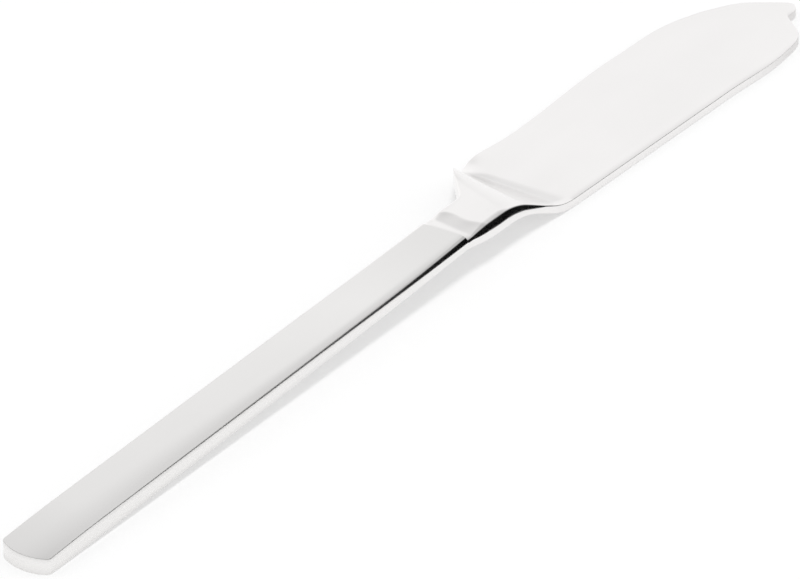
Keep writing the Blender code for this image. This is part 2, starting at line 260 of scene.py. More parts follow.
class SteelLook(bpy.types.PropertyGroup):
    """Finish of the polished steel."""

    blade_colour: colour("Blade Steel", "Colour of the blade's steel", (0.892, 0.879, 0.874))
    shell_colour: colour("Shell Steel", "Colour of the handle's steel", (0.882, 0.872, 0.864))
    blade_roughness: share("Blade Roughness", "Roughness of the polished blade", 0.13)
    shell_roughness: share("Shell Roughness", "Roughness of the polished handle", 0.12)
    blade_rim: share("Blade Rim Roughness", "Roughness of the blade's ground edges", 0.50)
    shell_rim: share("Shell Rim Roughness", "Roughness of the handle's buffed edges", 0.50)
    blade_polish: share("Blade Polish", "Pitch of the blade's polishing lines, per metre", 2600.0)
    shell_polish: share("Shell Polish", "Pitch of the handle's polishing lines, per metre", 2300.0)
    blade_marks: share("Blade Marks", "Amount of scratches and smudges on the blade", 0.5)
    shell_marks: share("Shell Marks", "Amount of scratches and smudges on the handle", 0.6)
    cement_colour: colour("Cement", "Colour of the filler", (0.32, 0.30, 0.27))


class StageLook(bpy.types.PropertyGroup):
    """Table, light and camera."""

    table_colour: colour("Table", "Colour of the table", (0.95, 0.95, 0.95))
    table_lift: share("Table Lift", "Share of the table's white that takes no shade", 0.44)
    dome_level: share("Dome Level", "Level of the soft light from all round", 0.68)
    dome_lean: share("Dome Lean", "How much stronger the soft light is from the right", 0.23)
    key_level: share("Key Level", "Level of the soft light from above", 0.42)
    key_width: angle("Key Width", "Width of the light above, as an angle", 15.0)
    key_side: share("Key Side", "How far the light leans from the right, per height", 0.19)
    key_front: share("Key Front", "How far the light leans from the butt's end, per height", 0.30)
    card_lean: share("Card Lean", "How far the dark card at the right leans over, per height", 0.74)
    card_start: share("Card Start", "Where the dark card's soft edge begins", 0.40)
    card_end: share("Card End", "Where the dark card is black", 0.22)
    glow_start: share("Glow Start", "Where the white wall at the left begins", 0.53)
    glow_end: share("Glow End", "Where the white wall at the left is full", 0.62)
    glow_level: share("Glow Level", "Level of the white wall at the left", 1.08)
    screen_start: share("Screen Start", "Where the pale screen right of the middle begins", 0.485)
    screen_end: share("Screen End", "Where the pale screen is full", 0.435)
    screen_top: share("Screen Top", "Upper edge of the pale screen", 0.40)
    screen_level: share("Screen Level", "Level of the pale screen", 1.02)
    room_start: share("Room Start", "Where the plain grey room towards the butt's end begins", 0.22)
    room_end: share("Room End", "Where the plain grey room is full", 0.02)
    room_level: share("Room Level", "Level of the plain grey room", 0.50)
    room_lean: share("Room Lean", "How much paler the grey room is on the left", 0.30)
    room_top: share("Room Top", "Height at which the grey room begins to give way to the ceiling", 0.60)
    camera_place: FloatVectorProperty(
        name="Camera Place",
        description="Camera position from the butt of the knife",
        default=(-0.49753, -0.39333, 0.37757),
        size=3,
        precision=5,
        subtype="TRANSLATION",
        unit="LENGTH",
    )
    camera_pitch: angle("Camera Pitch", "How far the camera looks down", 27.93)
    camera_yaw: angle("Camera Yaw", "Camera direction, from the knife's length", 33.74)
    camera_lens: FloatProperty(
        name="Camera Lens",
        description="Focal length",
        default=247.5,
        subtype="DISTANCE_CAMERA",
        unit="CAMERA",
    )
    table_shown: BoolProperty(name="Table Shown", description="Show the table", default=True)


class Wire:
    """A number on its way through a node tree; arithmetic on it adds math nodes."""

    def __init__(self, tree, socket):
        self.tree = tree
        self.socket = socket

    def __add__(self, other):
        return calculate(self.tree, "ADD", self, other)

    def __sub__(self, other):
        return calculate(self.tree, "SUBTRACT", self, other)

    def __mul__(self, other):
        return calculate(self.tree, "MULTIPLY", self, other)

    def __truediv__(self, other):
        return calculate(self.tree, "DIVIDE", self, other)

    def __radd__(self, other):
        return calculate(self.tree, "ADD", other, self)

    def __rsub__(self, other):
        return calculate(self.tree, "SUBTRACT", other, self)

    def __rmul__(self, other):
        return calculate(self.tree, "MULTIPLY", other, self)

    def __rtruediv__(self, other):
        return calculate(self.tree, "DIVIDE", other, self)


def feed(tree, value, socket):
    if isinstance(value, Wire):
        tree.links.new(value.socket, socket)
    elif isinstance(value, bpy.types.NodeSocket):
        tree.links.new(value, socket)
    else:
        socket.default_value = value


def calculate(tree, operation, *values, clamp=False):
    node = tree.nodes.new("ShaderNodeMath")
    node.operation = operation
    node.use_clamp = clamp
    for place, value in enumerate(values):
        feed(tree, value, node.inputs[place])
    return Wire(tree, node.outputs[0])


def least(first, second):
    return calculate(first.tree, "MINIMUM", first, second)


def most(first, second):
    return calculate(first.tree, "MAXIMUM", first, second)


def held(value):
    """The value kept between 0 and 1."""
    return calculate(value.tree, "ADD", value, 0.0, clamp=True)


def sine(value):
    return calculate(value.tree, "SINE", value)


def cosine(value):
    return calculate(value.tree, "COSINE", value)


def lerp(start, end, amount):
    return start + (end - start) * amount


def ease(amount):
    amount = held(amount)
    return amount * amount * (3.0 - 2.0 * amount)


def slope_down(amount, start, end):
    """Straight ramp from 0 to 1; start and end are the shares of it that are rounded."""
    steep = 1.0 / (1.0 - 0.5 * start - 0.5 * end)
    bent = least(amount, start)
    last = most(amount - (1.0 - end), 0.0)
    return steep * (bent * bent / (2.0 * start) + most(amount - start, 0.0) - last * last / (2.0 * end))


def new_node(tree, kind, **inputs):
    """A node with its inputs set or fed by name; spaces in names are written as underscores."""
    node = tree.nodes.new(kind)
    for name, value in inputs.items():
        feed(tree, value, node.inputs[name.replace("_", " ")])
    return node


def lay_out(tree):
    for place, node in enumerate(tree.nodes):
        node.location = (190.0 * (place // 10), -190.0 * (place % 10))


def parts_of(tree, vector):
    node = new_node(tree, "ShaderNodeSeparateXYZ", Vector=vector)
    return Wire(tree, node.outputs["X"]), Wire(tree, node.outputs["Y"])


def spline_point(points, place):
    """Smooth curve through the points; place counts points from 0."""
    last = len(points) - 1
    index = min(max(int(math.floor(place)), 0), last - 1)
    part = place - index
    here = Vector(points[index])
    after = Vector(points[index + 1])
    before = Vector(points[index - 1]) if index > 0 else here * 2.0 - after
    beyond = Vector(points[index + 2]) if index + 2 <= last else after * 2.0 - here
    step_a = max((here - before).length, 1e-9)
    step_b = max((after - here).length, 1e-9)
    step_c = max((beyond - after).length, 1e-9)
    tangent_a = ((here - before) * (step_b / step_a) + (after - here) * (step_a / step_b))
    tangent_a = tangent_a * (step_b / (step_a + step_b))
    tangent_b = ((after - here) * (step_c / step_b) + (beyond - after) * (step_b / step_c))
    tangent_b = tangent_b * (step_b / (step_b + step_c))
    p2 = part * part
    p3 = p2 * part
    point = here * (2 * p3 - 3 * p2 + 1) + tangent_a * (p3 - 2 * p2 + part)
    return point + after * (3 * p2 - 2 * p3) + tangent_b * (p3 - p2)


def blade_rails(handle, neck, blade):
    """The two outlines of neck and blade as paired points, back side and belly side, neck to tip.

    Their points lie at distances from the mouth of the shells, from the heel and from the tip.
    """
    half = 0.5 * handle.mouth_width
    mouth = handle.handle_length
    heel = mouth + neck.neck_length
    tip = OVERALL_LENGTH
    back_end = tip - blade.back_end_from_tip
    notch = tip - blade.notch_from_tip
    dip = heel + 14.0 * MM
    widest = heel + blade.belly_max_from_heel

    def straight_back(x):
        return lerp(blade.heel_back, blade.back_end, (x - heel) / (back_end - heel))

    belly = [
        (mouth, half),
        (mouth + 5.0 * MM, half + 0.15 * MM),
        (mouth + 11.2 * MM, half + 0.8 * MM),
        (mouth + 13.3 * MM, half + 2.4 * MM),
        (mouth + 18.2 * MM, half + 6.2 * MM),
        (heel - 1.0 * MM, blade.heel_belly - 0.95 * MM),
        (heel + 2.0 * MM, blade.heel_belly),
        (dip, blade.heel_belly - 0.25 * MM),
        (widest, blade.belly_max),
        (back_end + 0.5 * MM, blade.belly_max - 1.05 * MM),
        (tip - 8.8 * MM, blade.belly_max - 3.8 * MM),
        (notch + 0.4 * MM, blade.nose + 5.8 * MM),
        (tip - 1.9 * MM, blade.nose + 2.5 * MM),
        (tip - 0.25 * MM, blade.nose),
    ]
    back = [
        (mouth, -half),
        (mouth + 5.0 * MM, -half - neck.back_swell),
        (mouth + 11.0 * MM, lerp(-half, blade.heel_back, 0.15) - 0.8 * neck.back_swell),
        (mouth + 15.5 * MM, lerp(-half, blade.heel_back, 0.4) - 0.5 * neck.back_swell),
        (mouth + 20.5 * MM, lerp(-half, blade.heel_back, 0.75)),
        (heel - 1.0 * MM, blade.heel_back + 0.05 * MM),
        (heel + 2.0 * MM, straight_back(heel + 2.0 * MM)),
        (dip, straight_back(dip)),
        (widest, straight_back(widest)),
        (back_end, blade.back_end),
        (tip - 10.2 * MM, blade.back_end + 1.25 * MM),
        (notch, blade.notch),
    ]
    beak = [
        (notch, blade.notch),
        (tip - 1.6 * MM, lerp(blade.notch, blade.beak, 0.2)),
        (tip, blade.beak),
    ]
    notch_span = len(back) - 1
    rows = []
    for span, count in enumerate(SPAN_ROWS):
        for step in range(count):
            place = span + step / count
            belly_point = spline_point(belly, place)
            if span < notch_span:
                back_point = spline_point(back, place)
            else:
                back_point = spline_point(beak, place - notch_span)
            rows.append((back_point, belly_point))
    rows.append((Vector(beak[-1]), Vector(belly[-1])))
    return rows


def rail_object(name, points):
    mesh = bpy.data.meshes.new(name)
    mesh.from_pydata([(point.x, point.y, 0.0) for point in points], [], [])
    rail = bpy.data.objects.new(name, mesh)
    bpy.context.scene.collection.objects.link(rail)
    return rail


def rail_place(tree, rail, row, inward):
    """Position on a rail at a row, and the direction from the rail into the blade."""

    def at(index):
        info = new_node(tree, "GeometryNodeObjectInfo", Object=rail)
        sample = tree.nodes.new("GeometryNodeSampleIndex")
        sample.data_type = "FLOAT_VECTOR"
        sample.domain = "POINT"
        sample.clamp = True
        position = tree.nodes.new("GeometryNodeInputPosition")
        tree.links.new(info.outputs["Geometry"], sample.inputs["Geometry"])
        tree.links.new(position.outputs["Position"], sample.inputs["Value"])
        feed(tree, index, sample.inputs["Index"])
        return parts_of(tree, sample.outputs["Value"])

    x, y = at(row)
    ahead_x, ahead_y = at(row + 1.0)
    behind_x, behind_y = at(row - 1.0)
    along_x = ahead_x - behind_x
    along_y = ahead_y - behind_y
    size = calculate(tree, "SQRT", along_x * along_x + along_y * along_y)
    return x, y, along_y * (-inward) / size, along_x * inward / size


def neck_rule(tree, socket, x, y):
    """Heights of the top and the underside, and their edge roundings, at places on neck and blade."""
    mouth = socket["Handle Length"]
    heel = mouth + socket["Neck Length"]
    across = y - socket["Heel Back"]
    bend = most(socket["Bend Length"] - socket["Bend Taper"] * across, SHORTEST_BEND)

    def dropped(start):
        first = mouth + start + socket["Drop Skew"] * across
        run = most(heel + socket["Drop Overrun"] - first, SHORTEST_DROP)
        curve = least(bend / run, LARGEST_BEND_SHARE)
        foot = least(socket["Foot Length"] / run, LARGEST_FOOT_SHARE)
        return slope_down(held((x - first) / run), curve, foot)

    lift = socket["Mouth Lift"]
    lead = socket["Neck Lead"] * held((x - mouth) / socket["Crest Start"])
    start_level = lift + socket["Mouth Thickness"] - socket["Neck Step"] + lead
    half = 0.5 * socket["Mouth Width"]
    spot = least(most(y, half * -1.0), half)
    rise_start = socket["Crest Start"] + socket["Crest Skew"] * (spot + half)
    wave = cosine((spot - socket["Wave Place"]) / socket["Wave Length"] * (2.0 * math.pi))
    rise_end = socket["Crest End"] + socket["Crest Wave"] * wave
    rise = held((x - mouth - rise_start) / (rise_end - rise_start))
    lip = calculate(tree, "POWER", rise, LIP_POWER)
    risen = lerp(slope_down(rise, RISE_ROUNDED_SHARE, RISE_ROUNDED_SHARE), lip, socket["Crest Lip"])
    level = lerp(start_level, socket["Crest Height"], risen)
    top = lerp(level, socket["Thickness"], dropped(socket["Top Drop Start"]))
    under = lift * (1.0 - dropped(socket["Under Drop Start"]))
    along = calculate(tree, "POWER", held((x - mouth) / socket["Swell Length"]), socket["Swell Power"])
    swell = sine(along * math.pi)
    swollen = lerp(socket["Edge"], socket["Neck Edge"], most(swell, 0.0))
    rounding = most(swollen, socket["Edge Start"] * calculate(tree, "LESS_THAN", along, 0.5))
    ended = held(1.0 - (x - mouth - socket["Swell Length"]) / socket["Tail Length"])
    rounding = most(rounding, socket["Edge"] + socket["Tail Edge"] * ended * ended)
    thinned = ease((x - mouth) / socket["Under Fade"])
    return top, under, rounding, lerp(socket["Mouth Edge"], socket["Under Edge"], thinned)


def tang_bar(tree, socket):
    """The flat tang inside the handle, along the handle's slope."""
    size = new_node(
        tree,
        "ShaderNodeCombineXYZ",
        X=socket["Tang Length"],
        Y=socket["Tang Width"],
        Z=socket["Tang Thickness"],
    )
    cube = new_node(tree, "GeometryNodeMeshCube", Size=size.outputs["Vector"])
    mouth = socket["Handle Length"]
    pitch = calculate(tree, "ARCTANGENT", socket["Mouth Lift"] / mouth)
    middle = mouth - TANG_MIDDLE * socket["Tang Length"]
    height = socket["Mouth Lift"] * middle / mouth + 0.5 * socket["Mouth Thickness"]
    place = new_node(tree, "ShaderNodeCombineXYZ", X=middle, Z=height)
    turn = new_node(tree, "ShaderNodeCombineXYZ", Y=pitch * -1.0)
    tang = new_node(
        tree,
        "GeometryNodeTransform",
        Geometry=cube.outputs["Mesh"],
        Translation=place.outputs["Vector"],
        Rotation=turn.outputs["Vector"],
    )
    return tang.outputs["Geometry"]


def blade_tree(sizes, material):
    """Node tree that lofts neck and blade between two rails, with rounded edges all round."""
    tree = bpy.data.node_groups.new("blade_loft", "GeometryNodeTree")
    tree.interface.new_socket(name="Back Rail", in_out="INPUT", socket_type="NodeSocketObject")
    tree.interface.new_socket(name="Belly Rail", in_out="INPUT", socket_type="NodeSocketObject")
    for name in ("Rows", "Columns", "Edge Steps"):
        tree.interface.new_socket(name=name, in_out="INPUT", socket_type="NodeSocketInt")
    for name in sizes:
        tree.interface.new_socket(name=name, in_out="INPUT", socket_type="NodeSocketFloat")
    tree.interface.new_socket(name="Geometry", in_out="OUTPUT", socket_type="NodeSocketGeometry")
    entry = tree.nodes.new("NodeGroupInput")
    socket = {item.name: Wire(tree, item) for item in entry.outputs if item.name}
    rows, columns, steps = socket["Rows"], socket["Columns"], socket["Edge Steps"]

    loop = columns * 2.0 + 1.0
    grid = new_node(tree, "GeometryNodeMeshGrid", Vertices_X=rows + 2.0, Vertices_Y=loop)
    index = Wire(tree, tree.nodes.new("GeometryNodeInputIndex").outputs["Index"])
    line = calculate(tree, "FLOOR", (index + 0.5) / loop)
    column = calculate(tree, "FLOORED_MODULO", index - line * loop, columns * 2.0)
    below = calculate(tree, "GREATER_THAN", column, columns - 0.5)
    place = column + below * (columns * 2.0 - 1.0 - column * 2.0)
    capped = calculate(tree, "LESS_THAN", line, 0.5) + calculate(tree, "GREATER_THAN", line, rows + 0.5)
    row = most(least(line - 1.0, rows - 1.0), 0.0)

    back_x, back_y, back_nx, back_ny = rail_place(tree, socket["Back Rail"].socket, row, 1.0)
    belly_x, belly_y, belly_nx, belly_ny = rail_place(tree, socket["Belly Rail"].socket, row, -1.0)
    from_back = held(place / steps)
    from_belly = held((columns - 1.0 - place) / steps)
    inner = columns - 1.0 - steps * 2.0
    within = held((place - steps - 1.0 + EDGE_COLUMN) / (inner - 2.0 + 2.0 * EDGE_COLUMN))
    middle_x = 0.5 * (back_x + belly_x)
    middle_y = 0.5 * (back_y + belly_y)
    _, _, top_round, under_round = neck_rule(tree, socket, middle_x, middle_y)
    near_tip = ease(TIP_STEEPNESS - TIP_STEEPNESS * (OVERALL_LENGTH - middle_x) / socket["Tip Reach"])
    top_round = top_round * (1.0 - TIP_THINNING * near_tip)
    rounding = lerp(top_round, under_round, below) * (1.0 - capped)
    back_turn = from_back * (0.5 * math.pi)
    belly_turn = from_belly * (0.5 * math.pi)
    belly_rounding = rounding * lerp(socket["Belly Round"], 1.0, below)
    back_inset = rounding * (1.0 - cosine(back_turn))
    belly_inset = belly_rounding * (1.0 - cosine(belly_turn))
    depth = rounding * (1.0 - sine(back_turn)) + belly_rounding * (1.0 - sine(belly_turn))
    x = lerp(back_x + back_nx * back_inset, belly_x + belly_nx * belly_inset, within)
    y = lerp(back_y + back_ny * back_inset, belly_y + belly_ny * belly_inset, within)
    top, under, _, _ = neck_rule(tree, socket, x, y)
    back_roll = held(1.0 - (y - back_y) / socket["Crown Width"])
    heel_x = socket["Handle Length"] + socket["Neck Length"]
    on_neck = ease((heel_x - x) / socket["Neck Length"])
    belly_roll = held(1.0 - (belly_y - y) / socket["Crown Width"])
    rolled = socket["Crown Drop"] * (back_roll * back_roll + on_neck * belly_roll * belly_roll)
    heel_near = ease(1.0 - calculate(tree, "ABSOLUTE", x - heel_x) / socket["Heel Reach"])
    heel_roll = held(1.0 - (belly_y - y) / socket["Heel Width"])
    rolled = rolled + socket["Heel Drop"] * heel_near * heel_roll * heel_roll
    height = lerp(lerp(top - rolled - depth, under + depth, below), 0.5 * (top + under), capped)
    spot = new_node(tree, "ShaderNodeCombineXYZ", X=x, Y=y, Z=height)
    shaped = new_node(
        tree,
        "GeometryNodeSetPosition",
        Geometry=grid.outputs["Mesh"],
        Position=spot.outputs["Vector"],
    )
    rim = tree.nodes.new("GeometryNodeStoreNamedAttribute")
    rim.data_type = "FLOAT"
    rim.domain = "POINT"
    rim.inputs["Name"].default_value = "rim"
    tree.links.new(shaped.outputs["Geometry"], rim.inputs["Geometry"])
    turned = from_back * from_belly
    sharp = held(socket["Edge"] / rounding)
    ground = most(4.0 * turned * (1.0 - turned) * sharp, near_tip * (1.0 - from_back))
    feed(tree, ground, rim.inputs["Value"])
    closed = new_node(
        tree,
        "GeometryNodeMergeByDistance",
        Geometry=rim.outputs["Geometry"],
        Distance=WELD_DISTANCE,
    )
    joined = tree.nodes.new("GeometryNodeJoinGeometry")
    tree.links.new(tang_bar(tree, socket), joined.inputs["Geometry"])
    tree.links.new(closed.outputs["Geometry"], joined.inputs["Geometry"])
    frame_place = new_node(
        tree,
        "GeometryNodeTransform",
        Geometry=joined.outputs["Geometry"],
        Translation=(BUTT_X, AXIS_Y, 0.0),
    )
    real = new_node(tree, "GeometryNodeRealizeInstances", Geometry=frame_place.outputs["Geometry"])
    smooth = new_node(tree, "GeometryNodeSetShadeSmooth", Geometry=real.outputs["Geometry"])
    dressed = new_node(
        tree,
        "GeometryNodeSetMaterial",
        Geometry=smooth.outputs["Geometry"],
        Material=material,
    )
    leave = tree.nodes.new("NodeGroupOutput")
    tree.links.new(dressed.outputs["Geometry"], leave.inputs["Geometry"])
    lay_out(tree)
    return tree


def handle_share(handle, x):
    return min(max(x / handle.handle_length, 0.0), 1.0)


def handle_half_width(handle, x):
    return 0.5 * lerp(handle.butt_width, handle.mouth_width, handle_share(handle, x))


def handle_under(handle, x):
    return handle.mouth_lift * x / handle.handle_length


def handle_thickness(handle, x):
    return lerp(handle.butt_thickness, handle.mouth_thickness, handle_share(handle, x))


def handle_top(handle, x):
    rolled = max(1.0 - x / handle.butt_roll_length, 0.0)
    flared = max(1.0 - (handle.handle_length - x) / handle.flare_length, 0.0)
    bent = handle.mouth_flare * (flared * flared - handle_share(handle, x))
    bent -= handle.butt_roll * rolled * rolled
    return handle_under(handle, x) + handle_thickness(handle, x) + bent


def handle_middle(handle, x):
    return handle_under(handle, x) + 0.5 * handle_thickness(handle, x)


def handle_path(handle):
    """Plan outline of the handle as points with outward normals, from mouth round the butt to mouth."""
    half = 0.5 * handle.butt_width
    bow = handle.butt_bow
    radius = (half * half + bow * bow) / (2.0 * bow)
    corner = handle.butt_corner
    corner_x = radius - math.sqrt((radius - corner) ** 2 - (half - corner) ** 2)
    swing = math.atan2(half - corner, radius - corner_x)
    mouth = handle.handle_length - handle.seam
    left = []
    for step in range(SIDE_STATIONS):
        x = lerp(mouth, corner_x, (step / SIDE_STATIONS) ** STATION_POWER)
        left.append((x, handle_half_width(handle, x), (0.0, 1.0)))
    for step in range(CORNER_STEPS + 1):
        turn = lerp(0.5 * math.pi, swing, step / CORNER_STEPS)
        normal = (-math.cos(turn), math.sin(turn))
        left.append((corner_x + corner * normal[0], half - corner + corner * normal[1], normal))
    for step in range(1, BOW_STEPS + 1):
        turn = swing * (1.0 - step / BOW_STEPS)
        normal = (-math.cos(turn), math.sin(turn))
        left.append((radius + radius * normal[0], radius * normal[1], normal))
    right = [(x, -y, (normal[0], -normal[1])) for x, y, normal in reversed(left[:-1])]
    path = []
    for x, y, normal in left + right:
        lean = handle.butt_slant * y * max(1.0 - x / handle.butt_roll_length, 0.0)
        path.append((x + lean, y, normal))
    return path


def shell_object(name, handle, face, sign, material):
    """Half of the hollow handle; sign is +1 for the upper half, -1 for the lower half."""
    path = handle_path(handle)
    last = len(path) - 1
    mesh_data = bmesh.new()
    rim_layer = mesh_data.verts.layers.float.new("rim")

    def edge_round(x, y):
        part = handle_share(handle, x)
        growth = lerp(part**GROWTH_POWER, part, handle.edge_growth)
        if y > 0.0 and sign > 0.0:
            growth *= handle.belly_edge
        return lerp(handle.butt_edge, handle.mouth_edge, growth)

    def crown(x, y):
        """How far the top lies lower towards the back edge."""
        if sign < 0.0:
            return 0.0
        part = handle_share(handle, x)
        narrowed = min(part / NARROW_FROM, 1.0)
        narrowed = narrowed * narrowed * (3.0 - 2.0 * narrowed)
        distance = handle_half_width(handle, x) + y
        bend = lerp(handle.butt_strip, handle.mouth_strip, narrowed) - handle.even_strip
        turned = min(max((bend + handle.even_strip - distance) / bend, 0.0), 1.0)
        fall = bend * turned**3 / 3.0 + max(handle.even_strip - distance, 0.0)
        return fall * math.tan(lerp(handle.butt_slope, handle.mouth_slope, part))

    def vertex(x, y, z, rim):
        spot = mesh_data.verts.new((BUTT_X + x, AXIS_Y + y, z))
        spot[rim_layer] = rim
        return spot

    def ring(inset, height, rim):
        made = []
        for x, y, normal in path:
            distance = inset(x, y)
            px = x - distance * normal[0]
            py = y - distance * normal[1]
            worn = rim * (1.0 - handle_share(handle, x) ** 3)
            made.append(vertex(px, py, height(x, px, py), worn))
        return made

    def seam_height(x, px, py):
        return handle_middle(handle, px) + sign * 0.5 * handle.seam

    rings = [ring(lambda x, y: 0.0, seam_height, 0.0)]
    for step in range(RIM_STEPS + 1):
        turn = 0.5 * math.pi * step / RIM_STEPS
        inset_share = 1.0 - math.cos(turn)
        depth_share = 1.0 - math.sin(turn)
        rings.append(
            ring(
                lambda x, y, part=inset_share: part * edge_round(x, y),
                lambda x, px, py, part=depth_share: face(handle, px)
                - crown(px, py)
                - sign * part * edge_round(x, py),
                1.0,
            )
        )
    rings.append(
        ring(
            lambda x, y: edge_round(x, y) + FACE_MARGIN,
            lambda x, px, py: face(handle, px) - crown(px, py),
            0.0,
        )
    )
    ceiling = ring(
        lambda x, y: handle.wall,
        lambda x, px, py: face(handle, px) - crown(px, py) - sign * handle.wall,
        0.0,
    )
    edge = ring(lambda x, y: handle.wall, seam_height, 0.0)
    for first, second in list(zip(rings, rings[1:])) + [(ceiling, edge), (edge, rings[0])]:
        for index in range(last):
            mesh_data.faces.new((first[index], first[index + 1], second[index + 1], second[index]))
    middle = last // 2

    def across(first, second):
        """Vertices of one row over the face, from its left vertex to its right one."""
        made = [first]
        for step in range(1, FACE_COLUMNS):
            spot = first.co.lerp(second.co, step / FACE_COLUMNS)
            x = spot.x - BUTT_X
            y = spot.y - AXIS_Y
            made.append(vertex(x, y, face(handle, x) - crown(x, y), 0.0))
        return made + [second]

    outer = rings[-1]
    rows = [across(outer[index], outer[last - index]) for index in range(middle)]
    for first, second in zip(rows, rows[1:]):
        for step in range(FACE_COLUMNS):
            mesh_data.faces.new((first[step], first[step + 1], second[step + 1], second[step]))
    for step in range(FACE_COLUMNS):
        mesh_data.faces.new((rows[-1][step], rows[-1][step + 1], outer[middle]))
    for index in range(middle - 1):
        other = last - index
        mesh_data.faces.new((ceiling[index], ceiling[index + 1], ceiling[other - 1], ceiling[other]))
    mesh_data.faces.new((ceiling[middle - 1], ceiling[middle], ceiling[middle + 1]))
    mouth = [item[0] for item in rings] + rows[0][1:-1] + [item[last] for item in reversed(rings)]
    mouth += [edge[last], ceiling[last], ceiling[0], edge[0]]
    mesh_data.faces.new(mouth)
    bmesh.ops.recalc_face_normals(mesh_data, faces=mesh_data.faces)
    mesh = bpy.data.meshes.new(name)
    mesh_data.to_mesh(mesh)
    mesh_data.free()
    return piece_of(name, mesh, material)


def piece_of(name, mesh, material):
    mesh.name = name
    mesh.materials.clear()
    mesh.materials.append(material)
    mesh.shade_smooth()
    mesh.set_sharp_from_angle(angle=SHARP_ANGLE)
    piece = bpy.data.objects.new(name, mesh)
    bpy.context.scene.collection.objects.link(piece)
    return piece


def shader_group(name, inputs, outputs):
    """An empty shader group with named number or vector inputs and number outputs."""
    tree = bpy.data.node_groups.new(name, "ShaderNodeTree")
    for title, value in inputs.items():
        if value is None:
            tree.interface.new_socket(name=title, in_out="INPUT", socket_type="NodeSocketVector")
        else:
            item = tree.interface.new_socket(name=title, in_out="INPUT", socket_type="NodeSocketFloat")
            item.default_value = value
    for title in outputs:
        tree.interface.new_socket(name=title, in_out="OUTPUT", socket_type="NodeSocketFloat")
    entry = tree.nodes.new("NodeGroupInput")
    leave = tree.nodes.new("NodeGroupOutput")
    return tree, {item.name: item for item in entry.outputs if item.name}, leave.inputs


def stretched(tree, vector, scale, turn=0.0):
    node = new_node(tree, "ShaderNodeMapping", Vector=vector)
    node.inputs["Scale"].default_value = scale
    node.inputs["Rotation"].default_value = (0.0, 0.0, turn)
    return node.outputs["Vector"]


def noise(tree, vector, scale, detail=2.0, roughness=0.5):
    node = new_node(tree, "ShaderNodeTexNoise", Vector=vector, Scale=scale, Detail=detail)
    node.inputs["Roughness"].default_value = roughness
    return Wire(tree, node.outputs["Fac"])


def polish_lines_group():
    """Fine lines that the polishing wheel leaves along the length of the knife."""
    found = bpy.data.node_groups.get("polish_lines")
    if found:
        return found
    tree, entry, leave = shader_group("polish_lines", {"Vector": None, "Pitch": 2600.0}, ("Lines", "Haze"))
    lines = noise(tree, stretched(tree, entry["Vector"], LINE_STRETCH), entry["Pitch"], 3.0)
    haze = noise(tree, stretched(tree, entry["Vector"], HAZE_STRETCH), 160.0)
    feed(tree, lines, leave["Lines"])
    feed(tree, haze, leave["Haze"])
    lay_out(tree)
    return tree


def handling_marks_group():
    """Sparse hairline scratches in two directions, and soft smudges from handling."""
    found = bpy.data.node_groups.get("handling_marks")
    if found:
        return found
    inputs = {"Vector": None, "Amount": 0.5}
    tree, entry, leave = shader_group("handling_marks", inputs, ("Scratches", "Smudges"))
    scratches = None
    for turn, pitch in SCRATCH_SETS:
        lane = noise(tree, stretched(tree, entry["Vector"], SCRATCH_STRETCH, turn), pitch, 0.0)
        thin = held(1.0 - calculate(tree, "ABSOLUTE", lane - 0.5) * SCRATCH_THINNESS)
        patches = noise(tree, stretched(tree, entry["Vector"], (1.0, 1.0, 1.0), turn), 150.0, 1.0)
        mark = thin * held(patches * 6.0 - 3.6)
        scratches = mark if scratches is None else most(scratches, mark)
    smudges = held(noise(tree, entry["Vector"], 55.0, 4.0, 0.55) * 2.4 - 0.7)
    feed(tree, scratches * Wire(tree, entry["Amount"]), leave["Scratches"])
    feed(tree, smudges * Wire(tree, entry["Amount"]), leave["Smudges"])
    lay_out(tree)
    return tree


def worn_rim_group():
    """Edges burnished by use: a mask that follows the rounded rims and breaks up along them."""
    found = bpy.data.node_groups.get("worn_rim")
    if found:
        return found
    tree, entry, leave = shader_group("worn_rim", {"Vector": None, "Amount": 0.5}, ("Rim", "Wear"))
    rim = tree.nodes.new("ShaderNodeAttribute")
    rim.attribute_name = "rim"
    broken = held(noise(tree, entry["Vector"], 420.0, 3.0) * 2.0 - 0.4)
    mask = Wire(tree, rim.outputs["Fac"])
    feed(tree, mask, leave["Rim"])
    feed(tree, mask * broken * Wire(tree, entry["Amount"]), leave["Wear"])
    lay_out(tree)
    return tree


def group_node(tree, group, **inputs):
    node = tree.nodes.new("ShaderNodeGroup")
    node.node_tree = group
    for name, value in inputs.items():
        feed(tree, value, node.inputs[name])
    return node


def new_material(name):
    """A material with its tree, its shader and the object coordinates."""
    material = bpy.data.materials.new(name)
    material.use_nodes = True
    tree = material.node_tree
    place = tree.nodes.new("ShaderNodeTexCoord").outputs["Object"]
    return material, tree, tree.nodes["Principled BSDF"], place


def tint_between(tree, shader, first, second, amount):
    """Colour of the shader, from the first colour at amount 0 to the second at 1."""
    tint = tree.nodes.new("ShaderNodeMix")
    tint.data_type = "RGBA"
    tint.inputs["A"].default_value = (*first, 1.0)
    tint.inputs["B"].default_value = (*second, 1.0)
    feed(tree, amount, tint.inputs["Factor"])
    tree.links.new(tint.outputs["Result"], shader.inputs["Base Color"])


def bump_by(tree, shader, height, strength, distance):
    bump = new_node(tree, "ShaderNodeBump", Height=height, Strength=strength, Distance=distance)
    tree.links.new(bump.outputs["Normal"], shader.inputs["Normal"])


